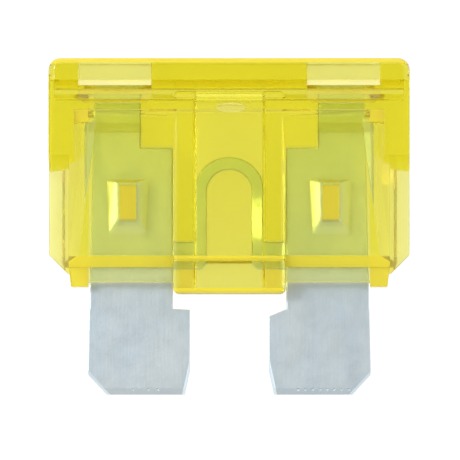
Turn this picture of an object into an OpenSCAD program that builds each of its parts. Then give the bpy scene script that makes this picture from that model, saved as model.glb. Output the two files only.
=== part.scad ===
// Blade fuse: a transparent moulded housing over one stamped metal strip, lying on its back.
// X runs across the fuse, +Y towards its head and +Z towards its front face.
// Depths are measured down from the top of the head.

/* [Head] */
// Width of the head, and of the wings below it
head_w = 19.1; // [18.9:0.1:20.5]
// Thickness of the head from back to front
head_t = 5.1; // [5:0.1:6.2]
// Depth of the head's underside, where the grip groove starts
head_h = 1.6; // [1.5:0.05:1.8]
// Height of the slope from the head's face in to the groove
head_slope_h = 0.45; // [0.3:0.05:0.7]
// Radius of the two upper corners, seen from the front
head_corner_r = 0.6; // [0.3:0.05:0.8]
// Radius of the long upper edges
head_edge_r = 0.35; // [0.2:0.05:0.6]

/* [Grip groove] */
// Length of the groove across each face
groove_w = 18.5; // [17.6:0.1:18.7]
// Thickness left between the two grooves
groove_t = 3.4; // [2.8:0.1:4.2]
// Height of the groove's floor
groove_h = 0.3; // [0.2:0.05:0.5]
// Height of the flank from the groove's floor out to the collar
groove_flank_h = 0.25; // [0.1:0.05:0.4]

/* [Test slots] */
// Width of each test slot
slot_w = 3.9; // [3.2:0.1:4.2]
// Distance between the centres of the two test slots
slot_spacing = 12.1; // [11.6:0.1:12.4]
// Width of a slot's mouth from back to front
slot_t = 3; // [2:0.1:3.4]
// Depth of the slot's straight mouth
slot_mouth_h = 1.1; // [0.6:0.05:1.3]
// Height of the slope from the mouth in to the slot's narrow part
slot_slope_h = 0.1; // [0.05:0.05:0.3]
// Cut across the slot's lower corners
slot_corner = 0.3; // [0.1:0.05:0.4]

/* [Housing] */
// Height of the housing, from the head's top to its feet
housing_h = 12.1; // [11.6:0.1:14]
// Thickness of the collar below the groove, and of the wings beside it
collar_t = 4.9; // [4.6:0.1:5]
// Depth of the collar's lower edge
collar_d = 2.7; // [2.4:0.1:3]
// Height of the slope from the collar in to the panel
collar_slope_h = 0.4; // [0.2:0.1:0.8]
// Width of the panel between the wings
panel_w = 17; // [16.8:0.1:17.6]
// Thickness of the panel below the collar
panel_top_t = 4.5; // [4.2:0.1:4.6]
// Thickness of the panel at its lower end
panel_low_t = 3.6; // [3.2:0.1:4]
// Thickness of the panel's bevelled sides
panel_side_t = 3.1; // [2.6:0.1:3.4]
// Width of the bevel along each side
panel_side_w = 1.5; // [0.6:0.1:2]
// Height of the thin skirt below the panel
skirt_h = 1.05; // [0.9:0.05:1.3]
// Thickness of the skirt
skirt_t = 2.7; // [2.4:0.1:3]
// Height of the sloped step from the panel to the skirt
step_h = 0.6; // [0.3:0.05:0.8]
// Height of the lips in front of the blades above the feet
lip_rise = 0.25; // [0.1:0.05:0.4]
// How much each side of the skirt leans in at its feet
skirt_lean = 0.12; // [0.05:0.01:0.2]

/* [Wings] */
// Depth at which the wings start to thin out
wing_ramp_d = 5.1; // [4:0.1:6]
// Height of the ramp from the thick to the thin part of a wing
wing_ramp_h = 0.9; // [0.5:0.1:1.6]
// Thickness of the thin part at its root
wing_root_t = 2.2; // [1.8:0.1:2.4]
// Thickness of the thin part at its outer edge
wing_edge_t = 1.6; // [1.2:0.1:1.7]
// Cut across each wing's lower corner
wing_corner = 1; // [0.6:0.05:1.2]
// Height of the cut corner's lower end above the feet
wing_rise = 0.7; // [0.4:0.05:1]

/* [Barrel] */
// Width of the raised barrel in front of and behind the link
barrel_w = 5.95; // [5.7:0.05:6.1]
// Thickness over the barrel
barrel_t = 4.6; // [4.5:0.1:4.8]
// Depth of the barrel's upper end, in the groove
barrel_d = 1.75; // [1.65:0.05:1.85]
// Bevel along the barrel's edges
barrel_bevel = 0.3; // [0.1:0.05:0.35]
// Thickness of the tongue that continues the barrel between the blades
tongue_t = 4.2; // [3.8:0.1:4.3]
// Height of the small step from the barrel to the tongue
tongue_step_h = 0.25; // [0.1:0.05:0.5]
// How far the tongue reaches below the feet
tongue_drop = 0.35; // [0.2:0.05:0.6]

/* [Cavity] */
// Depth at which the cavity round the link starts
cavity_d = 2.05; // [1.9:0.05:2.6]
// Width of the cavity from back to front at its closed end
cavity_top_t = 0.9; // [0.7:0.05:1.2]
// Width of the cavity from back to front at its mouth
cavity_low_t = 1.75; // [1.4:0.05:2]
// Bevel along the cavity's four edges
cavity_bevel = 0.3; // [0.1:0.05:0.4]

/* [Blades] */
// Thickness of the metal strip
strip_t = 0.65; // [0.5:0.05:0.8]
// Width over the two blades, below the housing
blade_span = 15; // [14.8:0.1:15.4]
// Width of each blade, below the housing
blade_w = 5.3; // [5:0.1:5.5]
// Length of the blades below the feet
blade_out = 5.7; // [5:0.1:8]
// Gap between the blades, inside the housing
inner_gap = 6; // [5.9:0.1:6.4]
// How much each outer edge leans in from the tip to the tab's top
blade_lean = 0.33; // [0.1:0.01:0.4]
// Depth of the test tabs' tops
tab_d = 2.33; // [2.3:0.01:2.6]
// Height of the test tabs above the blades' upper shoulders
tab_h = 2.33; // [1.8:0.01:2.6]
// Gap between the two test tabs
tab_gap = 9.4; // [9.2:0.1:9.8]
// Gap between the tongue and the blades' lower shoulders
shoulder_gap = 0.8; // [0.4:0.1:1.5]
// Width of the tip's outer corner cut
tip_outer_w = 0.98; // [0.6:0.02:1.2]
// Height of the tip's outer corner cut
tip_outer_h = 1.06; // [0.6:0.02:1.4]
// Width of the tip's inner corner cut
tip_inner_w = 0.26; // [0.1:0.02:0.5]
// Height of the tip's inner corner cut
tip_inner_h = 1.2; // [0.8:0.02:1.4]
// Thickness of the coined tip edge
tip_t = 0.4; // [0.3:0.05:0.45]
// Height of the coined bevel at the tip
tip_bevel_h = 0.35; // [0.2:0.05:0.6]

/* [Link] */
// Width over the link's two legs
link_w = 3.72; // [3.4:0.02:3.9]
// Width of the link's band
link_band = 0.66; // [0.5:0.02:0.8]
// Thickness of the link
link_t = 0.45; // [0.3:0.05:0.5]
// Height of the link, from its feet to the top of its arch
link_h = 5.95; // [5:0.05:6.4]
// Height of the necks that join the link to the blades
neck_h = 1.45; // [1:0.05:2]
// Height of the necks' lower edges above the housing's feet
neck_rise = 0.95; // [0.8:0.05:1.3]
// Radius of the link's feet
foot_r = 0.5; // [0.3:0.05:0.6]

/* [Stakes] */
// Distance between the centres of the two stake holes
stake_spacing = 10.76; // [10.4:0.02:11]
// Depth of the stake holes' centres
stake_d = 7.6; // [7.2:0.1:8]
// Width of a stake hole in the blade
hole_w = 1.1; // [0.9:0.05:1.4]
// Height of a stake hole
hole_h = 2; // [1.6:0.1:2.4]
// Corner radius of a stake hole
hole_r = 0.25; // [0.1:0.05:0.4]
// Width of the punched pit over a stake, at the panel's face
pit_w = 2.1; // [1.8:0.1:2.6]
// Height of the pit above its stake's centre, at the panel's face
pit_up = 1.15; // [1.1:0.05:1.5]
// Depth of the pit below its stake's centre, at the panel's face
pit_down = 1.9; // [1.4:0.05:2.2]
// Plastic left between a pit's floor and the strip's channel
pit_floor = 0.7; // [0.3:0.05:0.9]

/* [Fits] */
// Gap between each face of the strip and the channel
face_fit = 0.38; // [0.2:0.02:0.45]
// Gap between each face of a test tab and its seat, which centres the strip
tab_fit = 0.07; // [0.03:0.01:0.15]
// Depth to which the test tabs' seats reach
tab_seat_d = 3.35; // [3:0.05:3.8]
// Height of the slope from a seat out to the channel
tab_slope_h = 0.55; // [0.3:0.05:0.8]
// Gap between the strip's edges and the ends of the channel and the cavity
edge_fit = 0.06; // [0.02:0.01:0.1]
// Gap all round a stake in its hole
stake_fit = 0.05; // [0.02:0.01:0.1]

/* [Hidden] */
$fn = 48;

fuse_l = housing_h + blade_out;
mid_z = head_t / 2;
past = 1; // how far a cut runs past the face that it opens

joined_d = head_h - head_slope_h; // parts below the head reach up into it as far as this
collar_top_d = head_h + groove_h + groove_flank_h;
panel_top_d = collar_d + collar_slope_h;
skirt_d = housing_h - skirt_h;
step_d = skirt_d - step_h;
lip_d = housing_h - lip_rise;
tongue_d = housing_h + tongue_drop;
wing_low_d = housing_h - wing_rise;

channel_t = strip_t + 2 * face_fit;
seat_t = strip_t + 2 * tab_fit;
cavity_w = link_w + 2 * edge_fit;
outer_x = blade_span / 2;
tab_outer_x = outer_x - blade_lean;
blade_inner_x = outer_x - blade_w;
inner_x = inner_gap / 2;
tab_x = tab_gap / 2;
upper_shoulder_d = tab_d + tab_h;
lower_shoulder_d = tongue_d + shoulder_gap;
lean_end_d = fuse_l - tip_outer_h;
channel_x = tab_outer_x + blade_lean * (housing_h - tab_d) / (lean_end_d - tab_d) + edge_fit;
foot_d = housing_h - neck_rise;
neck_d = foot_d - neck_h;
arch_d = foot_d - link_h + link_w / 2;
stake_root = pit_floor / 2; // how far a stake's ends are rooted in the channel's walls

// Y of a depth below the head's top
function down(d) = fuse_l / 2 - d;
// Half the panel's thickness at a depth
function panel_face(d) =
    (panel_top_t + (panel_low_t - panel_top_t) * (d - panel_top_d) / (step_d - panel_top_d)) / 2;
// The points of a right half, with its mirror image joined on
function both_sides(half) = concat(half, [for (i = [len(half) - 1:-1:0]) [-half[i][0], half[i][1]]]);

// Gives a front view its thickness, on both sides of the mid-plane
module plate(thickness) {
    translate([0, 0, mid_z]) linear_extrude(height = thickness, center = true) children();
}

// Runs a side view, drawn as distance from the mid-plane and Y, across a width
module across(width) {
    translate([0, 0, mid_z]) rotate([0, 90, 0]) linear_extrude(height = width, center = true) children();
}

// Runs a section, drawn as X and distance from the mid-plane, from one depth to another
module lengthwise(from_d, to_d) {
    translate([0, down(from_d), mid_z]) rotate([90, 0, 0]) linear_extrude(height = to_d - from_d) children();
}

module both() {
    for (side = [0, 1]) mirror([side, 0, 0]) children();
}

// A centred rectangle with a bevel of its own width and height on each corner
module bevelled_rect(w, h, bevel_w, bevel_h) {
    polygon(both_sides([
        [w / 2 - bevel_w, -h / 2],
        [w / 2, bevel_h - h / 2],
        [w / 2, h / 2 - bevel_h],
        [w / 2 - bevel_w, h / 2],
    ]));
}

// A centred rectangle with four round corners
module round_rect(w, h, r) {
    square([w - 2 * r, h], center = true);
    square([w, h - 2 * r], center = true);
    for (x = [-1, 1], y = [-1, 1]) translate([x * (w / 2 - r), y * (h / 2 - r)]) circle(r);
}

// A rectangle from the head's top down, w wide and h high, with its upper corners rounded
module round_top(w, h, r) {
    translate([-w / 2, down(h)]) square([w, h - r]);
    translate([r - w / 2, down(h)]) square([w - 2 * r, h]);
    for (x = [-1, 1]) translate([x * (w / 2 - r), down(r)]) circle(r);
}

module head() {
    intersection() {
        plate(head_t) round_top(head_w, head_h, head_corner_r);
        across(head_w) round_top(head_t, head_h, head_edge_r);
    }
}

// The thick band below the groove, which slopes in to the panel
module collar() {
    across(panel_w) polygon(both_sides([
        [collar_t / 2, down(joined_d)],
        [collar_t / 2, down(collar_d)],
        [panel_face(panel_top_d), down(panel_top_d)],
    ]));
}

// The panel with bevelled sides, its sloped step, the skirt, the feet and the lips
module panel() {
    intersection() {
        plate(panel_top_t) polygon(both_sides([
            [panel_w / 2, down(collar_d)],
            [panel_w / 2, down(skirt_d)],
            [panel_w / 2 - skirt_lean, down(housing_h)],
            [channel_x, down(housing_h)],
            [channel_x, down(lip_d)],
        ]));
        across(panel_w) polygon(both_sides([
            [panel_face(collar_d), down(collar_d)],
            [panel_face(step_d), down(step_d)],
            [skirt_t / 2, down(skirt_d)],
            [skirt_t / 2, down(housing_h)],
        ]));
        lengthwise(collar_d, housing_h)
            bevelled_rect(panel_w, panel_top_t, panel_side_w, (panel_top_t - panel_side_t) / 2);
    }
}

// The side wings: thick beside the collar, then a thin flange with its lower corner cut off
module wings() {
    intersection() {
        plate(collar_t) polygon(both_sides([
            [head_w / 2, down(joined_d)],
            [head_w / 2, down(wing_low_d - wing_corner)],
            [head_w / 2 - wing_corner, down(wing_low_d)],
        ]));
        union() {
            both() translate([(head_w + panel_w) / 4, 0]) across((head_w - panel_w) / 2) polygon(both_sides([
                [collar_t / 2, down(joined_d)],
                [collar_t / 2, down(wing_ramp_d)],
                [wing_edge_t / 2, down(wing_ramp_d + wing_ramp_h)],
            ]));
            lengthwise(wing_ramp_d, wing_low_d) bevelled_rect(
                head_w, wing_root_t, (head_w - panel_w) / 2, (wing_root_t - wing_edge_t) / 2);
        }
    }
}

// The grip groove across the front and back faces, under the head's sloped underside
module grooves() {
    for (face = [0, 1]) translate([0, 0, mid_z]) mirror([0, 0, face]) rotate([0, -90, 0])
        linear_extrude(height = groove_w, center = true) polygon([
            [head_t / 2 + past, down(joined_d)],
            [head_t / 2, down(joined_d)],
            [groove_t / 2, down(head_h)],
            [groove_t / 2, down(head_h + groove_h)],
            [collar_t / 2, down(collar_top_d)],
            [head_t / 2 + past, down(collar_top_d)],
        ]);
}

// The raised barrel over the link, and the tongue below it
module barrel() {
    intersection() {
        lengthwise(barrel_d, tongue_d) bevelled_rect(barrel_w, barrel_t, barrel_bevel, barrel_bevel);
        across(barrel_w) polygon(both_sides([
            [barrel_t / 2, down(barrel_d)],
            [barrel_t / 2, down(step_d)],
            [tongue_t / 2, down(step_d + tongue_step_h)],
            [tongue_t / 2, down(tongue_d - barrel_bevel)],
            [tongue_t / 2 - barrel_bevel, down(tongue_d)],
        ]));
    }
}

// The space for the strip: a test slot above each tab, the channels, and the slit between them
module strip_space() {
    intersection() {
        plate(head_t) {
            both() translate([slot_spacing / 2, 0]) polygon(both_sides([
                [slot_w / 2, down(-past)],
                [slot_w / 2, down(tab_d - slot_corner)],
                [slot_w / 2 - slot_corner, down(tab_d)],
            ]));
            both() polygon([
                [tab_x - edge_fit, down(slot_mouth_h)],
                [channel_x, down(slot_mouth_h)],
                [channel_x, down(tongue_d + past)],
                [0, down(tongue_d + past)],
                [0, down(neck_d - edge_fit)],
                [inner_x - edge_fit, down(neck_d - edge_fit)],
                [inner_x - edge_fit, down(upper_shoulder_d - edge_fit)],
                [tab_x - edge_fit, down(upper_shoulder_d - edge_fit)],
            ]);
        }
        across(head_w) polygon(both_sides([
            [slot_t / 2, down(-past)],
            [slot_t / 2, down(slot_mouth_h)],
            [channel_t / 2, down(slot_mouth_h + slot_slope_h)],
            [channel_t / 2, down(tab_d)],
            [seat_t / 2, down(tab_d)],
            [seat_t / 2, down(tab_seat_d)],
            [channel_t / 2, down(tab_seat_d + tab_slope_h)],
            [channel_t / 2, down(tongue_d + past)],
        ]));
    }
}

// The cavity round the link, which widens towards its open lower end
module link_cavity() {
    intersection() {
        across(cavity_w) polygon(both_sides([
            [cavity_top_t / 2, down(cavity_d)],
            [cavity_low_t / 2, down(tongue_d)],
            [cavity_low_t / 2, down(tongue_d + past)],
        ]));
        lengthwise(cavity_d, tongue_d + past)
            bevelled_rect(cavity_w, cavity_low_t, cavity_bevel, cavity_bevel);
    }
}

module stake_outline(gap) {
    translate([stake_spacing / 2, down(stake_d)])
        round_rect(hole_w - 2 * gap, hole_h - 2 * gap, hole_r - gap);
}

// A pit that a punch pressed into the panel's front face over a stake
module stake_pit() {
    floor_z = channel_t / 2 + pit_floor;
    face_z = panel_face(stake_d);
    intersection() {
        translate([stake_spacing / 2, 0]) lengthwise(stake_d - pit_up, stake_d + pit_down) polygon(both_sides([
            [hole_w / 2, floor_z],
            [pit_w / 2, face_z],
            [pit_w / 2, face_z + past],
        ]));
        translate([stake_spacing / 2, 0, mid_z]) rotate([0, -90, 0])
            linear_extrude(height = pit_w, center = true) polygon([
                [floor_z, down(stake_d - hole_h / 2)],
                [face_z, down(stake_d - pit_up)],
                [face_z + past, down(stake_d - pit_up)],
                [face_z + past, down(stake_d + pit_down)],
                [face_z, down(stake_d + pit_down)],
                [floor_z, down(stake_d + hole_h / 2)],
            ]);
    }
}

module housing() {
    color([0.93, 0.85, 0.2]) {
        difference() {
            union() {
                difference() {
                    union() {
                        head();
                        collar();
                        panel();
                        wings();
                    }
                    grooves();
                }
                barrel();
            }
            strip_space();
            link_cavity();
            both() {
                stake_pit();
                translate([0, 0, head_t]) mirror([0, 0, 1]) stake_pit();
            }
        }
        both() plate(channel_t + 2 * stake_root) stake_outline(stake_fit);
    }
}

module blade_outline() {
    difference() {
        polygon([
            [tab_x, down(tab_d)],
            [tab_outer_x, down(tab_d)],
            [outer_x, down(lean_end_d)],
            [outer_x - tip_outer_w, down(fuse_l)],
            [blade_inner_x + tip_inner_w, down(fuse_l)],
            [blade_inner_x, down(fuse_l - tip_inner_h)],
            [blade_inner_x, down(lower_shoulder_d)],
            [inner_x, down(lower_shoulder_d)],
            [inner_x, down(upper_shoulder_d)],
            [tab_x, down(upper_shoulder_d)],
        ]);
        stake_outline(0);
    }
}

// The fusible link: an arch on two legs, with a round foot and a neck on each side
module link_outline() {
    leg_x = link_w / 2 - link_band;
    leg_end_d = neck_d + neck_h / 2;
    difference() {
        union() {
            translate([0, down(arch_d)]) circle(link_w / 2);
            translate([-link_w / 2, down(leg_end_d)]) square([link_w, leg_end_d - arch_d]);
        }
        translate([0, down(arch_d)]) circle(leg_x);
        translate([-leg_x, down(foot_d)]) square([2 * leg_x, foot_d - arch_d]);
    }
    both() {
        translate([leg_x + foot_r, down(foot_d)]) square([inner_x - leg_x - foot_r, neck_h]);
        translate([leg_x, down(foot_d - foot_r)]) square([foot_r, neck_h - foot_r]);
        translate([leg_x + foot_r, down(foot_d - foot_r)]) circle(foot_r);
    }
}

module fuse_element() {
    color([0.76, 0.79, 0.8]) {
        intersection() {
            plate(strip_t) both() blade_outline();
            across(head_w) polygon(both_sides([
                [strip_t / 2, down(0)],
                [strip_t / 2, down(fuse_l - tip_bevel_h)],
                [tip_t / 2, down(fuse_l)],
            ]));
        }
        plate(link_t) link_outline();
    }
}

housing();
fuse_element();
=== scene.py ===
"""An automotive blade fuse: a clear yellow moulded housing over one stamped, plated metal strip.

The fuse lies on its back on a white sheet. X runs across it, +Y towards its head and +Z up at the camera.
Lengths in this script are in millimetres, and MM turns them to the frame's metres.
"""
import itertools
import math

import bpy
from mathutils import Matrix, Vector


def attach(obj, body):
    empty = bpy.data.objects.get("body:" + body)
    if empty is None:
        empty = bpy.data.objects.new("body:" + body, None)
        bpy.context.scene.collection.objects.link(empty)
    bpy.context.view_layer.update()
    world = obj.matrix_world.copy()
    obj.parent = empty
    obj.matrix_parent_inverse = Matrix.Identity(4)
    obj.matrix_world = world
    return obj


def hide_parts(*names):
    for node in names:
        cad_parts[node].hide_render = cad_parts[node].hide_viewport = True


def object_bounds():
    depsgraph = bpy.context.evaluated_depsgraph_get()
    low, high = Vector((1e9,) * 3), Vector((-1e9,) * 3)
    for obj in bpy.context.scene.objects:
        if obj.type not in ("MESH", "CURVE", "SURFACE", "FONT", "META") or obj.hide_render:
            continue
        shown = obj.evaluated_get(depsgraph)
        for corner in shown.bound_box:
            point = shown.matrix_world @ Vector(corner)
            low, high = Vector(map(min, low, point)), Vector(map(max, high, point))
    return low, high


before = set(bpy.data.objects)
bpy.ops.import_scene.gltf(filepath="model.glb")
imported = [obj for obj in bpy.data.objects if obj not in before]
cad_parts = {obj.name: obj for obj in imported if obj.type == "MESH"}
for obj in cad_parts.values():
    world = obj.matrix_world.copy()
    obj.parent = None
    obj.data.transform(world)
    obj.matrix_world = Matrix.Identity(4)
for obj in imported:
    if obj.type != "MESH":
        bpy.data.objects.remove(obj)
cad_low, cad_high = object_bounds()

MM = 0.001

# The top of the head and the mid-plane between the housing's faces, from the frame
TOP = cad_high.y / MM
MIDDLE = (cad_low.z + cad_high.z) / 2 / MM

EDGE, EDGE_STEPS = 0.03, 3  # the rounding of a plain edge, and the faces across it
OVERLAP = 0.3  # how far joined blocks reach into each other
PAST = 1.0  # how far a cut runs past the face that it opens
FINE = 0.05  # a margin that tells a face or an edge from its neighbours
MERGED = 0.0005  # points that lie closer than this become one
SMOOTH_BELOW = 28  # degrees between two faces that still count as one round surface
AXES = {"X": Vector((1, 0, 0)), "Y": Vector((0, 1, 0)), "Z": Vector((0, 0, 1))}

# A Mix node's sockets are given by number, because those for numbers and for colours share their names
FACTOR, NUMBER_A, NUMBER_B, COLOUR_A, COLOUR_B = 0, 2, 3, 6, 7
NOISE_LOW, NOISE_HIGH = 0.3, 0.7  # nearly all of a noise pattern lies between these

# The patterns of the finishes, as the size of their features along X, Y and Z
RIPPLE = (2.22, 2.22, 2.22)
HAZE = (2, 2, 2)
STAINS = (2, 4, 2)
SATIN = (0.833, 0.833, 0.833)
# The real rolling lines and grain are finer, and these are just coarse enough to show
ROLLING_LINES = (0.111, 2.22, 0.111)
GRAIN = (0.167, 0.167, 0.167)
RIPPLE_DEPTH = 0.012
METAL_DEPTH = 0.004  # of the lines and the grain together


def linear(hex_colour):
    """The linear RGBA of an sRGB hex colour."""
    channels = [int(hex_colour[i:i + 2], 16) / 255 for i in (1, 3, 5)]
    return (*[c / 12.92 if c <= 0.04045 else ((c + 0.055) / 1.055) ** 2.4 for c in channels], 1.0)


def add_node(tree, kind, settings=None, links=None):
    """Adds a node, sets its properties and sockets, and links the sockets that are given an output."""
    node = tree.nodes.new(kind)
    for name, value in (settings or {}).items():
        if isinstance(name, str) and hasattr(node, name):
            setattr(node, name, value)
        else:
            node.inputs[name].default_value = value
    for name, output in (links or {}).items():
        tree.links.new(output, node.inputs[name])
    return node


def new_material(name):
    """A material with an empty node tree, and the tree."""
    material = bpy.data.materials.new(name)
    material.use_nodes = True
    material.node_tree.nodes.clear()
    return material, material.node_tree


def pattern(tree, size, detail):
    """A noise pattern in the piece itself, whose features have this size along X, Y and Z."""
    place = add_node(tree, "ShaderNodeTexCoord")
    sized = add_node(tree, "ShaderNodeMapping", {"Scale": [1 / (part * MM) for part in size]}, {
        "Vector": place.outputs["Object"],
    })
    noise = add_node(tree, "ShaderNodeTexNoise", {"Scale": 1.0, "Detail": detail}, {
        "Vector": sized.outputs[0],
    })
    return noise.outputs[0]


def varied(tree, size, detail, low, high):
    """A value that follows such a pattern between two limits."""
    return add_node(tree, "ShaderNodeMapRange", {
        "From Min": NOISE_LOW, "From Max": NOISE_HIGH, "To Min": low, "To Max": high,
    }, {"Value": pattern(tree, size, detail)}).outputs[0]


def moulded_polycarbonate():
    """Dyed clear polycarbonate, injection moulded.

    The polished mould leaves it glossy. The flow of the melt leaves a wide, shallow ripple that bends what
    is seen through it, and the mould's wear leaves some patches a little hazier than others. Spark-eroded
    steel leaves the steps and edges matte. There a fuller yellow is painted into the colour, with less
    clearness: a painted glow that stands in for the light running along inside the walls and coming out
    there. An attribute on the shell's faces says how matte each is and how much of this painted glow it
    takes, and the painted yellow is at its fullest from 0.5 up.
    """
    material, tree = new_material("moulded_polycarbonate")
    matte_and_painted_glow = add_node(tree, "ShaderNodeAttribute", {"attribute_name": "matte_and_painted_glow"}).outputs["Fac"]
    # The painted glow: a fuller yellow and less clearness on the matte faces, in place of the light that
    # comes out of the walls there
    glow = add_node(tree, "ShaderNodeMapRange", {"From Max": 0.5}, {"Value": matte_and_painted_glow})
    colour = add_node(tree, "ShaderNodeMix", {
        "data_type": "RGBA", COLOUR_A: linear("#FFFFFF"), COLOUR_B: linear("#FFEB34"),
    }, {FACTOR: glow.outputs[0]})
    clarity = add_node(tree, "ShaderNodeMapRange", {"From Min": 0.3, "To Min": 1.0, "To Max": 0.3}, {
        "Value": matte_and_painted_glow,
    })
    polished = varied(tree, HAZE, 3, 0.08, 0.15)
    roughness = add_node(tree, "ShaderNodeMix", {NUMBER_B: 0.35}, {FACTOR: matte_and_painted_glow, NUMBER_A: polished})
    ripple = add_node(tree, "ShaderNodeBump", {"Strength": 1.0, "Distance": RIPPLE_DEPTH * MM}, {
        "Height": pattern(tree, RIPPLE, 2),
    })
    plastic = add_node(tree, "ShaderNodeBsdfPrincipled", {"IOR": 1.58}, {
        "Base Color": colour.outputs[2],
        "Transmission Weight": clarity.outputs[0],
        "Roughness": roughness.outputs[0],
        "Normal": ripple.outputs[0],
    })
    dye = add_node(tree, "ShaderNodeVolumeAbsorption", {"Color": linear("#FCF900"), "Density": 690.0})
    add_node(tree, "ShaderNodeOutputMaterial", {}, {"Surface": plastic.outputs[0], "Volume": dye.outputs[0]})
    return material


def tin_plated_zinc():
    """Zinc strip, rolled, stamped and plated with tin.

    The plating is satin, so it shows the room as one soft grey. Cloudy stains make it paler and bluer in
    places, and the rolls leave fine lines along the blades.
    """
    material, tree = new_material("tin_plated_zinc")
    colour = add_node(tree, "ShaderNodeMix", {
        "data_type": "RGBA", COLOUR_A: linear("#D2E1E9"), COLOUR_B: linear("#DFE9EC"),
    }, {FACTOR: varied(tree, STAINS, 5, 0, 1)})
    height = add_node(tree, "ShaderNodeMath", {"operation": "ADD"}, {
        0: pattern(tree, ROLLING_LINES, 3), 1: pattern(tree, GRAIN, 2),
    })
    relief = add_node(tree, "ShaderNodeBump", {"Strength": 1.0, "Distance": METAL_DEPTH * MM}, {
        "Height": height.outputs[0],
    })
    metal = add_node(tree, "ShaderNodeBsdfPrincipled", {"Metallic": 1.0}, {
        "Base Color": colour.outputs[2],
        "Roughness": varied(tree, SATIN, 3, 0.41, 0.46),
        "Normal": relief.outputs[0],
    })
    add_node(tree, "ShaderNodeOutputMaterial", {}, {"Surface": metal.outputs[0]})
    return material


def at(across, depth, out):
    """A place by its distance from the centre line, below the head's top and out from the mid-plane."""
    return Vector((across, TOP - depth, MIDDLE + out))


def edit(obj):
    """Selects one piece alone and opens it in edit mode, with all of it selected."""
    bpy.ops.object.select_all(action="DESELECT")
    obj.select_set(True)
    bpy.context.view_layer.objects.active = obj
    bpy.ops.object.mode_set(mode="EDIT")
    bpy.ops.mesh.select_all(action="SELECT")


def chosen_faces(obj, choose):
    """Selects the faces that are chosen, alone, and leaves the piece open in edit mode."""
    edit(obj)
    bpy.ops.mesh.select_all(action="DESELECT")
    bpy.ops.mesh.select_mode(type="FACE")
    bpy.ops.object.mode_set(mode="OBJECT")
    for face in obj.data.polygons:
        face.select = choose(face)
    bpy.ops.object.mode_set(mode="EDIT")


def round_edges(obj, width, steps, chosen=lambda a, b: True):
    """Rounds the edges of a block, or only those whose two ends are chosen. One step makes a chamfer."""
    edit(obj)
    bpy.ops.mesh.select_all(action="DESELECT")
    bpy.ops.mesh.select_mode(type="EDGE")
    bpy.ops.object.mode_set(mode="OBJECT")
    for edge in obj.data.edges:
        edge.select = chosen(*[obj.data.vertices[i].co for i in edge.vertices])
    bpy.ops.object.mode_set(mode="EDIT")
    bpy.ops.mesh.bevel(offset=width, segments=steps, affect="EDGES")
    bpy.ops.mesh.select_mode(type="VERT")
    bpy.ops.object.mode_set(mode="OBJECT")


def block(across, depth, out, cuts=(), rounding=EDGE):
    """A block with rounded edges between two distances across, two depths, and as far out to both faces.

    Each cut gives two places, as distance across, depth and distance out, and the axis that the cut runs
    along. It takes off what lies beyond, and again at its mirror images where the block is symmetrical.
    """
    low, high = at(across[0], depth[1], -out), at(across[1], depth[0], out)
    centre = (low + high) / 2
    bpy.ops.object.select_all(action="DESELECT")
    bpy.ops.mesh.primitive_cube_add(size=1, location=centre, scale=high - low)
    obj = bpy.context.active_object
    bpy.ops.object.transform_apply()
    edit(obj)
    for first, second, along in cuts:
        x_sides = (1,) if along == "X" or across[0] > 0 else (1, -1)
        z_sides = (1,) if along == "Z" else (1, -1)
        for x_side, z_side in itertools.product(x_sides, z_sides):
            a, b = [at(x_side * place[0], place[1], z_side * place[2]) for place in (first, second)]
            way = (b - a).cross(AXES[along]).normalized()
            if way.dot(a - centre) < 0:
                way = -way
            bpy.ops.mesh.select_all(action="SELECT")
            bpy.ops.mesh.bisect(plane_co=a, plane_no=way, use_fill=True, clear_outer=True)
    bpy.ops.object.mode_set(mode="OBJECT")
    if rounding:
        round_edges(obj, rounding, EDGE_STEPS)
    return obj


def mirror(obj):
    """Takes a block to the other side of the centre line."""
    edit(obj)
    bpy.ops.transform.resize(value=(-1, 1, 1), center_override=(0, 0, 0))
    bpy.ops.mesh.normals_make_consistent(inside=False)
    bpy.ops.object.mode_set(mode="OBJECT")
    return obj


def mirrored(obj):
    """A copy of a block on the other side of the centre line."""
    twin = bpy.data.objects.new(obj.name, obj.data.copy())
    bpy.context.scene.collection.objects.link(twin)
    return mirror(twin)


def combine(solid, others, operation):
    """Joins other solids to a solid, or cuts them out of it."""
    bpy.ops.object.select_all(action="DESELECT")
    bpy.context.view_layer.objects.active = solid
    for other in others:
        boolean = solid.modifiers.new("combine", "BOOLEAN")
        boolean.operation = operation
        boolean.solver = "MANIFOLD"
        boolean.object = other
        bpy.ops.object.modifier_apply(modifier=boolean.name)
        bpy.data.objects.remove(other)
    return solid


def finish_piece(obj, node, material):
    """Smooths a piece's round edges, brings it back to metres and lets it stand for its node."""
    edit(obj)
    bpy.ops.mesh.remove_doubles(threshold=MERGED)
    bpy.ops.object.mode_set(mode="OBJECT")
    bpy.ops.object.shade_smooth_by_angle(angle=math.radians(SMOOTH_BELOW))
    bpy.ops.object.modifier_add(type="WEIGHTED_NORMAL")
    weighting = obj.modifiers[-1]
    weighting.mode = "FACE_AREA"
    weighting.weight = 100
    weighting.thresh = 0
    weighting.keep_sharp = True
    bpy.ops.object.modifier_apply(modifier=weighting.name)
    obj.scale = (MM,) * 3
    bpy.ops.object.transform_apply(location=False, rotation=False, scale=True)
    obj.data.materials.clear()
    obj.data.materials.append(material)
    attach(obj, "root")
    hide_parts(node)


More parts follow.
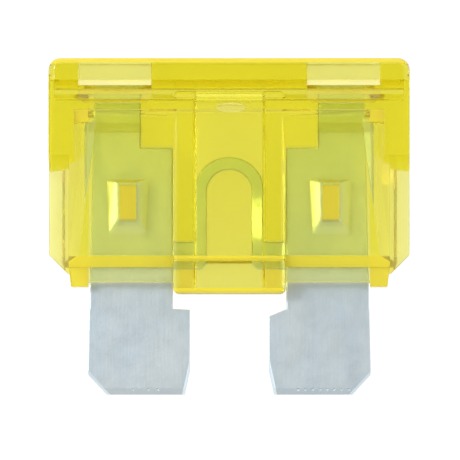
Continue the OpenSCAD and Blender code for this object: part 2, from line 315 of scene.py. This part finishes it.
# The housing, as the frame has it: widths, thicknesses, and depths below the head's top
HEAD_W, HEAD_T = 19.1, 5.1
HEAD_SLOPE, HEAD_LOW = 1.15, 1.6
HEAD_CORNER, HEAD_EDGE = 0.6, 0.35
GROOVE_W, GROOVE_T, GROOVE_LOW = 18.5, 3.4, 1.9
COLLAR_T, COLLAR_TOP, COLLAR_LOW = 4.9, 2.15, 2.7
PANEL_W, PANEL_TOP, PANEL_TOP_T = 17.0, 3.1, 4.5
PANEL_SIDE_W, PANEL_SIDE_T = 1.5, 3.1
STEP, PANEL_LOW_T = 10.45, 3.6
SKIRT, SKIRT_T, SKIRT_LEAN = 11.05, 2.7, 0.12
LIP, FEET = 11.85, 12.1
WING_RAMP, WING_THIN, WING_LOW = 5.1, 6.0, 11.4
WING_ROOT_T, WING_EDGE_T, WING_CORNER = 2.2, 1.6, 1.0
BARREL_W, BARREL_T, BARREL_TOP, BARREL_BEVEL = 5.95, 4.6, 1.75, 0.3
TONGUE_T, TONGUE_LOW = 4.2, 12.45

# The hollows for the strip: the test slots, the tabs' seats, the channels, the link's cavity
SLOT_X, SLOT_W, SLOT_T, SLOT_MOUTH, SLOT_CORNER = 6.05, 3.9, 3.0, 1.15, 0.3
CHANNEL_X, CHANNEL_T = 7.46, 1.41
SEAT_T, SEAT_TOP, SEAT_LOW, SEAT_SLOPE = 0.79, 2.33, 3.35, 3.9
TAB_X, TAB_LOW = 4.64, 4.6
INNER_X, NECK_TOP = 2.94, 9.64
CAVITY_W, CAVITY_TOP, CAVITY_TOP_T, CAVITY_LOW_T, CAVITY_BEVEL = 3.84, 2.05, 0.9, 1.75, 0.22

# The stakes through the blades, and the punched pits over them
STAKE_X, STAKE, STAKE_W, STAKE_H, STAKE_T = 5.38, 7.6, 1.0, 1.9, 2.11
PIT_FLOOR_T, PIT_W, PIT_H, PIT_T, PIT_EDGE = 2.81, 1.1, 2.0, 3.95, 0.12
PIT_SPREAD_X, PIT_SPREAD_UP, PIT_SPREAD_DOWN = 0.5, 0.15, 0.9

# The faint oval mark of an ejector pin at the top of the barrel's front: its place and its half sizes
MARK_X, MARK = 0.1, 2.6
MARK_SIZE = (0.8, 0.29, 0.05)

# How matte the faces are where the walls end, and on the head's slope, next to 1 on the steps and edges. The
# same values set how much painted yellow glow each face takes.
END_MATTE_AND_PAINTED_GLOW, SLOPE_MATTE_AND_PAINTED_GLOW = 0.33, 0.25
FLAT = 0.97  # how much of its normal a face that lies flat has along Z
STEP_SLANT, SLOPE_SLANT = 0.3, 0.2  # and the least that a slanted face of the step or the head's slope has
FOOT_TURN, COLLAR_TURN = 0.2, 0.4  # the least that a foot's end or the collar's underside has along -Y


def head():
    """The head, with its slopes into the groove, its round corners and its round rims."""
    half_w, half_t = HEAD_W / 2, HEAD_T / 2
    slope = ((0, HEAD_SLOPE, half_t), (0, HEAD_LOW, GROOVE_T / 2), "X")
    obj = block((-half_w, half_w), (0, HEAD_LOW + OVERLAP), half_t, [slope], rounding=0)
    corner_y, rim_y = TOP - HEAD_CORNER, TOP - HEAD_SLOPE + FINE
    round_edges(obj, HEAD_CORNER, 6, lambda a, b: min(a.y, b.y) > corner_y and abs(a.z - b.z) > half_t)
    round_edges(obj, HEAD_EDGE, 5, lambda a, b: (
        max(a.y, b.y) > rim_y and abs(a.z + b.z - 2 * MIDDLE) > HEAD_T - FINE
    ))
    return obj


def housing_outside():
    """The housing without its hollows: one block for each of its steps, joined."""
    edge_x, panel_x, groove_x, barrel_x = HEAD_W / 2, PANEL_W / 2, GROOVE_W / 2, BARREL_W / 2
    collar_x = groove_x + FINE
    lean = ((panel_x, SKIRT, 0), (panel_x - SKIRT_LEAN, FEET, 0), "Z")
    neck_low, collar_low = COLLAR_TOP + OVERLAP, PANEL_TOP + OVERLAP
    neck = block((-collar_x, collar_x), (HEAD_SLOPE, neck_low), GROOVE_T / 2, rounding=0)
    collar = block((-collar_x, collar_x), (GROOVE_LOW - OVERLAP, collar_low), COLLAR_T / 2, [
        ((0, GROOVE_LOW, GROOVE_T / 2), (0, COLLAR_TOP, COLLAR_T / 2), "X"),
        ((0, COLLAR_LOW, COLLAR_T / 2), (0, PANEL_TOP, PANEL_TOP_T / 2), "X"),
    ])
    panel = block((-panel_x, panel_x), (COLLAR_LOW, SKIRT + FINE), PANEL_TOP_T / 2 + OVERLAP, [
        ((0, PANEL_TOP, PANEL_TOP_T / 2), (0, STEP, PANEL_LOW_T / 2), "X"),
        ((0, STEP, PANEL_LOW_T / 2), (0, SKIRT, SKIRT_T / 2), "X"),
        ((panel_x - PANEL_SIDE_W, 0, PANEL_TOP_T / 2), (panel_x, 0, PANEL_SIDE_T / 2), "Y"),
    ])
    skirt = block((-panel_x, panel_x), (STEP, LIP), SKIRT_T / 2, [lean])
    foot = block((CHANNEL_X, panel_x), (SKIRT, FEET), SKIRT_T / 2, [lean])
    shoulder = block((groove_x, edge_x), (HEAD_SLOPE - OVERLAP, neck_low), COLLAR_T / 2)
    wing = block((panel_x - OVERLAP, edge_x), (COLLAR_TOP, WING_THIN + FINE), COLLAR_T / 2, [
        ((0, WING_RAMP, COLLAR_T / 2), (0, WING_THIN, WING_EDGE_T / 2), "X"),
    ])
    flange = block((panel_x - OVERLAP, edge_x), (WING_RAMP, WING_LOW), WING_ROOT_T / 2 + OVERLAP, [
        ((panel_x, 0, WING_ROOT_T / 2), (edge_x, 0, WING_EDGE_T / 2), "Y"),
        ((edge_x, WING_LOW - WING_CORNER, 0), (edge_x - WING_CORNER, WING_LOW, 0), "Z"),
    ])
    barrel = block((-barrel_x, barrel_x), (BARREL_TOP, STEP + OVERLAP), BARREL_T / 2, rounding=BARREL_BEVEL)
    tongue = block((-barrel_x, barrel_x), (STEP, TONGUE_LOW), TONGUE_T / 2, rounding=BARREL_BEVEL)
    middle = [neck, collar, panel, skirt, barrel, tongue]
    sides = [foot, shoulder, wing, flange]
    return combine(head(), [*middle, *sides, *map(mirrored, sides)], "UNION")


def pit(side):
    """The cutter for the pit over a stake, in the front (1) or the back face (-1).

    It is twice as high as the pit is deep, and it widens twice as far as the pit does.
    """
    rise = (PIT_T - PIT_FLOOR_T) / 2
    floor = at(STAKE_X, STAKE, side * PIT_FLOOR_T / 2)
    bpy.ops.object.select_all(action="DESELECT")
    bpy.ops.mesh.primitive_cube_add(
        size=1, location=floor + Vector((0, 0, side * rise)), scale=(PIT_W, PIT_H, 2 * rise))
    obj = bpy.context.active_object
    bpy.ops.object.transform_apply()
    wide, high = PIT_W + 4 * PIT_SPREAD_X, PIT_H + 2 * (PIT_SPREAD_UP + PIT_SPREAD_DOWN)
    chosen_faces(obj, lambda face: face.normal.z * side > FLAT)
    bpy.ops.transform.resize(value=(wide / PIT_W, high / PIT_H, 1), center_override=floor)
    bpy.ops.transform.translate(value=(0, PIT_SPREAD_UP - PIT_SPREAD_DOWN, 0))
    bpy.ops.object.mode_set(mode="OBJECT")
    round_edges(obj, PIT_EDGE, 4)
    return obj


def side_hollows():
    """The cutters for all that is hollow on one side of the housing."""
    slot_x = (SLOT_X - SLOT_W / 2, SLOT_X + SLOT_W / 2)
    mouth = block(slot_x, (-PAST, SLOT_MOUTH), SLOT_T / 2)
    throat = block(slot_x, (0, SEAT_TOP), CHANNEL_T / 2, [
        ((x, SEAT_TOP - SLOT_CORNER, 0), (x + inward * SLOT_CORNER, SEAT_TOP, 0), "Z")
        for x, inward in zip(slot_x, (1, -1))
    ], rounding=0)
    seat = block((TAB_X, CHANNEL_X), (SLOT_MOUTH, SEAT_SLOPE), SEAT_T / 2, rounding=0)
    tab_room = block((TAB_X, CHANNEL_X), (SEAT_LOW, TAB_LOW + OVERLAP), CHANNEL_T / 2, [
        ((0, SEAT_LOW, SEAT_T / 2), (0, SEAT_SLOPE, CHANNEL_T / 2), "X"),
    ], rounding=0)
    channel = block((INNER_X, CHANNEL_X), (TAB_LOW, TONGUE_LOW + PAST), CHANNEL_T / 2, rounding=0)
    return [mouth, throat, seat, tab_room, channel, pit(1), pit(-1)]


def middle_hollows():
    """The cutters for the slit between the channels, the link's cavity and the ejector pin's mark."""
    slit_x = INNER_X + OVERLAP
    slit = block((-slit_x, slit_x), (NECK_TOP, TONGUE_LOW + PAST), CHANNEL_T / 2, rounding=0)
    cavity_x = CAVITY_W / 2
    cavity = block((-cavity_x, cavity_x), (CAVITY_TOP, TONGUE_LOW + PAST), CAVITY_LOW_T / 2, [
        ((0, CAVITY_TOP, CAVITY_TOP_T / 2), (0, TONGUE_LOW, CAVITY_LOW_T / 2), "X"),
    ], rounding=CAVITY_BEVEL)
    bpy.ops.object.select_all(action="DESELECT")
    bpy.ops.mesh.primitive_uv_sphere_add(
        segments=48, ring_count=24, location=at(MARK_X, MARK, BARREL_T / 2), scale=MARK_SIZE)
    mark = bpy.context.active_object
    bpy.ops.object.transform_apply()
    return [slit, cavity, mark]


def matteness_and_painted_glow(face):
    """How matte a face of the finished shell is, which also sets how much painted yellow glow it takes.

    The step, the feet's ends, the head's top rims and the underside of the collar's ends are fully matte,
    with the fullest painted yellow. The feet, the tongue and the stakes are matte enough to take some of
    the painted full yellow, and the head's slope a little less.
    """
    x, y, z = face.center / MM
    across, depth, out = abs(x), TOP - y, abs(z - MIDDLE)
    slant = abs(face.normal.z)
    flat = slant > FLAT
    step = STEP - FINE < depth < SKIRT + FINE and out > CHANNEL_T and slant > STEP_SLANT
    foot_end = depth > LIP - FINE and out > CHANNEL_T / 2 and -face.normal.y > FOOT_TURN
    top = depth < HEAD_EDGE and out > SLOT_T / 2
    collar = COLLAR_LOW < depth < PANEL_TOP + FINE and across > CHANNEL_X and -face.normal.y > COLLAR_TURN
    if not flat and (step or foot_end or top or collar):
        return 1.0
    foot = depth > SKIRT and across > CHANNEL_X and out > CHANNEL_T / 2
    tongue = flat and depth > STEP and across > CAVITY_W / 2 and out > TONGUE_T / 2 - FINE
    stake = abs(across - STAKE_X) < FINE and abs(out - PIT_FLOOR_T / 2) < FINE
    slope = HEAD_SLOPE < depth < HEAD_LOW and across < GROOVE_W / 2 and slant > SLOPE_SLANT
    if foot or tongue or stake:
        return END_MATTE_AND_PAINTED_GLOW
    return SLOPE_MATTE_AND_PAINTED_GLOW if slope else 0.0


def housing_shell():
    """The moulded housing, hollowed out, with a stake through each blade."""
    shell = housing_outside()
    shell.name = "housing_shell"
    sides = side_hollows()
    middle = middle_hollows()
    combine(shell, [*sides, *map(mirrored, sides), *middle], "DIFFERENCE")
    stake_across = (STAKE_X - STAKE_W / 2, STAKE_X + STAKE_W / 2)
    stake_depth = (STAKE - STAKE_H / 2, STAKE + STAKE_H / 2)
    stake = block(stake_across, stake_depth, STAKE_T / 2)
    combine(shell, [mirrored(stake), stake], "UNION")
    # Long faces are split over the channels' and the cavity's edges, so that a matte stretch, with its
    # painted yellow glow, can end there
    edit(shell)
    for across in (CHANNEL_X, CAVITY_W / 2, -CAVITY_W / 2, -CHANNEL_X):
        bpy.ops.mesh.select_all(action="SELECT")
        bpy.ops.mesh.bisect(plane_co=at(across, 0, 0), plane_no=AXES["X"])
    bpy.ops.object.mode_set(mode="OBJECT")
    finish_piece(shell, "housing", moulded_polycarbonate())
    # Each face's matteness, which also sets how much painted yellow glow it takes
    matte_and_painted_glow = shell.data.attributes.new("matte_and_painted_glow", "FLOAT", "FACE")
    for face, value in zip(shell.data.polygons, matte_and_painted_glow.data):
        value.value = matteness_and_painted_glow(face)


# The strip: distances from the centre line, thicknesses, and depths below the head's top. They are the
# frame's own, but the lower blades reach 0.1 further in, as the photograph shows.
STRIP_T, TIP_T = 0.65, 0.4
OUTER_X, TAB_OUTER_X, UPPER_IN, LOWER_IN, TAB_IN = 7.5, 7.17, 3.0, 2.1, 4.7
TAB_TOP, UPPER_SHOULDER, LOWER_SHOULDER = 2.33, 4.66, 13.25
RIGHT_SLANT, LEFT_SLANT = 0.4, 0.05  # how far the lower shoulders drop towards the gap between the blades
LEAN_END, TIP_INNER, COIN, TIPS = 16.74, 16.6, 17.45, 17.8
TIP_OUTER_W, TIP_INNER_W = 0.98, 0.26
HOLE_W, HOLE_H, HOLE_R = 1.1, 2.0, 0.25
LINK_T, LINK_R, LINK_BAND, LINK_TOP = 0.45, 1.86, 0.66, 5.2
NECK, NECK_LOW, FOOT_R = 9.7, 11.15, 0.5
DIE_ROLL = 0.08  # how far the stamping die has rolled the strip's edges over
TIP_CHAMFER = 0.15  # along the tips' cut corners
LEG_TURNS = (6, 6, 4, -4, -6, -6)  # degrees that each step of the link's right leg is twisted, going down

# The radius of the dents that the coining punch left in the tips' bevels, and how far across each lies:
# eight in a row on the right tip, and three on the left
DENT = 0.09
DENTS = (*[3.65 + 0.38 * step for step in range(8)], -3.8, -4.3, -5.1)


def blade(slant):
    """The right blade's blocks: test tab, upper and lower part, with this slant of the lower shoulder.

    The upper part reaches down past the lower shoulder's slant.
    """
    lean = ((TAB_OUTER_X, TAB_TOP, 0), (OUTER_X, LEAN_END, 0), "Z")
    tab_low, upper_low = UPPER_SHOULDER + OVERLAP, LOWER_SHOULDER + 3 * OVERLAP
    tab = block((TAB_IN, OUTER_X), (TAB_TOP, tab_low), STRIP_T / 2, [lean], rounding=DIE_ROLL)
    upper = block((UPPER_IN, OUTER_X), (UPPER_SHOULDER, upper_low), STRIP_T / 2, [lean], rounding=DIE_ROLL)
    lower = block((LOWER_IN, OUTER_X), (LOWER_SHOULDER, TIPS), STRIP_T / 2, [
        lean,
        ((0, COIN, STRIP_T / 2), (0, TIPS, TIP_T / 2), "X"),
        ((OUTER_X, LEAN_END, 0), (OUTER_X - TIP_OUTER_W, TIPS, 0), "Z"),
        ((LOWER_IN, TIP_INNER, 0), (LOWER_IN + TIP_INNER_W, TIPS, 0), "Z"),
        ((LOWER_IN, LOWER_SHOULDER + slant, 0), (UPPER_IN + FINE, LOWER_SHOULDER, 0), "Z"),
    ], rounding=0)
    corner_y = TOP - TIP_INNER + FINE
    round_edges(lower, TIP_CHAMFER, 1, lambda a, b: (
        max(a.y, b.y) < corner_y and abs(a.x - b.x) > FINE and abs(a.y - b.y) > FINE
    ))
    round_edges(lower, DIE_ROLL / 2, 2)
    return [tab, upper, lower]


def link_band():
    """The link's arch and legs: the band's section spun half a turn, with its ends drawn down in steps.

    The two ends are found as the only faces with more than four corners.
    """
    centre = at(0, LINK_TOP + LINK_R, 0)
    middle = LINK_R - LINK_BAND / 2
    bpy.ops.object.select_all(action="DESELECT")
    bpy.ops.mesh.primitive_plane_add(
        size=1, location=centre + Vector((middle, 0, 0)), rotation=(math.pi / 2, 0, 0))
    band = bpy.context.active_object
    band.scale = (LINK_BAND, LINK_T, 1)
    bpy.ops.object.transform_apply()
    edit(band)
    bpy.ops.mesh.bevel(offset=DIE_ROLL, segments=3, affect="VERTICES")
    bpy.ops.mesh.select_all(action="SELECT")
    bpy.ops.mesh.spin(steps=40, angle=math.pi, center=centre, axis=-AXES["Z"])
    bpy.ops.mesh.select_all(action="SELECT")
    bpy.ops.mesh.normals_make_consistent(inside=False)
    bpy.ops.object.mode_set(mode="OBJECT")
    down = Vector((0, LINK_TOP + LINK_R - NECK - OVERLAP, 0)) / len(LEG_TURNS)
    leg_end = at(middle, LINK_TOP + LINK_R, 0)
    for turn in LEG_TURNS:
        chosen_faces(band, lambda face: len(face.vertices) > 4)
        bpy.ops.mesh.extrude_region_move(TRANSFORM_OT_translate={"value": down})
        bpy.ops.object.mode_set(mode="OBJECT")
        leg_end += down
        chosen_faces(band, lambda face: len(face.vertices) > 4 and face.center.x > 0)
        bpy.ops.transform.rotate(value=math.radians(turn), orient_axis="Y", center_override=leg_end)
        bpy.ops.object.mode_set(mode="OBJECT")
    return band


def link_neck():
    """The neck that joins the link's right leg to the blade, with its round foot."""
    neck = block((LINK_R - LINK_BAND, UPPER_IN + OVERLAP), (NECK, NECK_LOW), LINK_T / 2, rounding=0)
    foot_x, foot_y = LINK_R - LINK_BAND + FINE, TOP - NECK_LOW + FINE
    round_edges(neck, FOOT_R, 6, lambda a, b: max(a.x, b.x) < foot_x and max(a.y, b.y) < foot_y)
    round_edges(neck, DIE_ROLL, 3, lambda a, b: abs(a.z + b.z - 2 * MIDDLE) > LINK_T - FINE)
    return neck


def dent(across):
    """The cutter for a dent in the bevel of a tip."""
    bpy.ops.object.select_all(action="DESELECT")
    place = at(across, COIN + DENT, STRIP_T / 2)
    bpy.ops.mesh.primitive_ico_sphere_add(subdivisions=3, radius=DENT, location=place)
    return bpy.context.active_object


def metal_strip():
    """The stamped strip: two blades with their test tabs, and the arched link between them."""
    strip = link_band()
    strip.name = "metal_strip"
    necks = [link_neck(), mirror(link_neck())]
    combine(strip, [*necks, *blade(RIGHT_SLANT), *map(mirror, blade(LEFT_SLANT))], "UNION")
    hole_across = (STAKE_X - HOLE_W / 2, STAKE_X + HOLE_W / 2)
    hole_depth = (STAKE - HOLE_H / 2, STAKE + HOLE_H / 2)
    hole = block(hole_across, hole_depth, STRIP_T, rounding=HOLE_R)
    combine(strip, [mirrored(hole), hole, *map(dent, DENTS)], "DIFFERENCE")
    finish_piece(strip, "fuse_element", tin_plated_zinc())


# The camera, nearly square to the fuse from a long way off
VIEW_WIDTH = 460 / 18.85  # the photograph's width on the fuse, at its scale of 18.85 pixels a millimetre
LENS = 1000.0
SENSOR = 36.0
TILT = 1.0  # degrees towards the blade end
SWING = 0.5  # degrees towards +X
AIM = Vector((0.03, -0.16, 2.55))  # the point in the middle of the picture


def camera():
    """The camera at the photograph's viewing angle."""
    data = bpy.data.cameras.new("camera")
    data.lens = LENS
    data.sensor_width = SENSOR
    data.clip_start = 0.01
    cam = bpy.data.objects.new("camera", data)
    bpy.context.scene.collection.objects.link(cam)
    away = Vector((math.tan(math.radians(SWING)), -math.tan(math.radians(TILT)), 1)).normalized()
    right = AXES["Y"].cross(away).normalized()
    cam.location = (AIM + away * VIEW_WIDTH * LENS / SENSOR) * MM
    cam.rotation_euler = Matrix((right, away.cross(right), away)).transposed().to_euler()
    bpy.context.scene.camera = cam


SHEET = 1200  # each way
FLOOR_GAP = 0.02  # the air under the head's back face
GLOW = 1.12  # the strength of the sheet's own glow
# How much of that glow shows in place of the light on the sheet, seen bare and through the plastic
GLOW_SEEN = 0.88
GLOW_THROUGH = 0.6


def white_sheet():
    """The floor: white to the camera and in the plastic and metal, where it keeps the fuse's soft shadow."""
    bpy.ops.mesh.primitive_plane_add(size=SHEET * MM, location=(0, 0, -FLOOR_GAP * MM))
    floor = bpy.context.active_object
    floor.name = "floor"
    material, tree = new_material("white_sheet")
    paper = add_node(tree, "ShaderNodeBsdfDiffuse", {"Color": linear("#FFFFFF")})
    glow = add_node(tree, "ShaderNodeEmission", {"Color": linear("#FFFFFF"), "Strength": GLOW})
    ray = add_node(tree, "ShaderNodeLightPath")
    direct = add_node(tree, "ShaderNodeMath", {"operation": "MAXIMUM"}, {
        0: ray.outputs["Is Camera Ray"], 1: ray.outputs["Is Glossy Ray"],
    })
    seen = add_node(tree, "ShaderNodeMath", {"operation": "MULTIPLY", 1: GLOW_SEEN}, {0: direct.outputs[0]})
    share = add_node(tree, "ShaderNodeMix", {NUMBER_B: GLOW_THROUGH}, {
        FACTOR: ray.outputs["Is Transmission Ray"], NUMBER_A: seen.outputs[0],
    })
    mix = add_node(tree, "ShaderNodeMixShader", {}, {
        0: share.outputs[0], 1: paper.outputs[0], 2: glow.outputs[0],
    })
    add_node(tree, "ShaderNodeOutputMaterial", {}, {"Surface": mix.outputs[0]})
    floor.data.materials.append(material)


# The tent's light, and the dim opening that the camera looks through, as degrees from straight up
BACKDROP = 1.1
TENT_LIGHT = 0.84
OPENING_LIGHT = 0.15
OPENING = 8
OPENING_EDGE = 20
# How much more light comes from the tent's two sides, and how much less from the blades' end. Each sets in
# where the light's direction has the first share along X or -Y, and is full at the second.
SIDE_LIGHT = 0.5
SIDE_FROM, SIDE_FULL = 0.4, 1.0
END_SHADE = 0.3
END_FROM, END_FULL = 0.2, 0.8
# The one lamp: its place, its width and its power
KEY_PLACE = Vector((-130, 50, 200))
KEY_SIZE = 60
KEY_WATTS = 0.15


def key_lamp():
    """The large soft lamp at the camera's left, turned to the fuse."""
    data = bpy.data.lights.new("key", "AREA")
    data.size = KEY_SIZE * MM
    data.energy = KEY_WATTS
    key = bpy.data.objects.new("key", data)
    bpy.context.scene.collection.objects.link(key)
    key.location = KEY_PLACE * MM
    key.rotation_euler = (-KEY_PLACE).to_track_quat("-Z", "Y").to_euler()


def tent():
    """A white tent round the fuse, with a grey opening overhead for the camera."""
    world = bpy.data.worlds.new("studio")
    bpy.context.scene.world = world
    world.use_nodes = True
    tree = world.node_tree
    tree.nodes.clear()
    ray = add_node(tree, "ShaderNodeLightPath")
    way = add_node(tree, "ShaderNodeTexCoord")
    direction = add_node(tree, "ShaderNodeSeparateXYZ", {}, {0: way.outputs["Generated"]})
    overhead = add_node(tree, "ShaderNodeMapRange", {
        "interpolation_type": "SMOOTHSTEP",
        "From Min": math.cos(math.radians(OPENING_EDGE)),
        "From Max": math.cos(math.radians(OPENING)),
        "To Min": TENT_LIGHT,
        "To Max": OPENING_LIGHT,
    }, {"Value": direction.outputs["Z"]})
    aside = add_node(tree, "ShaderNodeMath", {"operation": "ABSOLUTE"}, {0: direction.outputs["X"]})
    sides = add_node(tree, "ShaderNodeMapRange", {
        "From Min": SIDE_FROM, "From Max": SIDE_FULL, "To Max": SIDE_LIGHT,
    }, {"Value": aside.outputs[0]})
    end = add_node(tree, "ShaderNodeMapRange", {
        "From Min": -END_FROM, "From Max": -END_FULL, "To Max": END_SHADE,
    }, {"Value": direction.outputs["Y"]})
    brighter = add_node(tree, "ShaderNodeMath", {"operation": "ADD"}, {
        0: overhead.outputs[0], 1: sides.outputs[0],
    })
    lit = add_node(tree, "ShaderNodeMath", {"operation": "SUBTRACT"}, {
        0: brighter.outputs[0], 1: end.outputs[0],
    })
    room = add_node(tree, "ShaderNodeBackground", {"Color": linear("#FFFFFF")}, {
        "Strength": lit.outputs[0],
    })
    backdrop = add_node(tree, "ShaderNodeBackground", {"Color": linear("#FFFFFF"), "Strength": BACKDROP})
    through = add_node(tree, "ShaderNodeMath", {"operation": "MAXIMUM"}, {
        0: ray.outputs["Is Camera Ray"], 1: ray.outputs["Is Transmission Ray"],
    })
    mix = add_node(tree, "ShaderNodeMixShader", {}, {
        0: through.outputs[0], 1: room.outputs[0], 2: backdrop.outputs[0],
    })
    add_node(tree, "ShaderNodeOutputWorld", {}, {"Surface": mix.outputs[0]})


housing_shell()
metal_strip()
white_sheet()
tent()
key_lamp()
camera()
bpy.context.scene.view_settings.view_transform = "Standard"
# Light turns many times inside the clear walls before it leaves them
bpy.context.scene.cycles.glossy_bounces = 16
bpy.context.scene.cycles.max_bounces = 24
